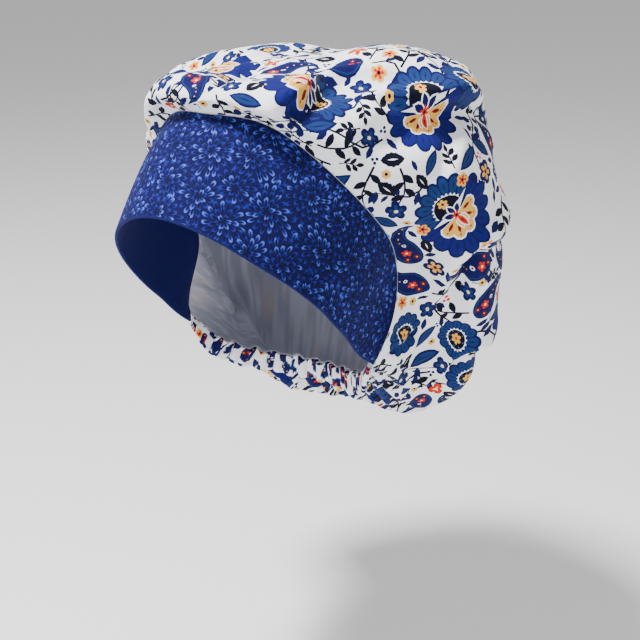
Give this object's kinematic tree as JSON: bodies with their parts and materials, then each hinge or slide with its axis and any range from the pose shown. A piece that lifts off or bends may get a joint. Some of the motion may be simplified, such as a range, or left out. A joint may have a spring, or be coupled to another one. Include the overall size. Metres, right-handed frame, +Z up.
{
  "type": "surgical scrub cap",
  "caption": "Bouffant scrub cap in its worn shape: wide front band, puffed printed crown and gathered elastic nape casing.",
  "frame": {"origin": "middle of the head opening at mid forehead height, where the head sits", "axes": "+Z up on the upright head, -Y forward, the way the wearer faces, +X towards the wearer's left"},
  "size_m": [0.2641, 0.2683, 0.2652],
  "materials": {
    "crown_cotton": null,
    "band_cotton": "deep royal blue plain-weave cotton with a tone-on-tone print of small petals",
    "casing_cotton": "the crown's printed cotton folded over elastic and gathered"
  },
  "bodies": {
    "root": {"crown": "crown_cotton", "front_band": "band_cotton", "nape_casing": "casing_cotton"}
  },
  "joints": []
}
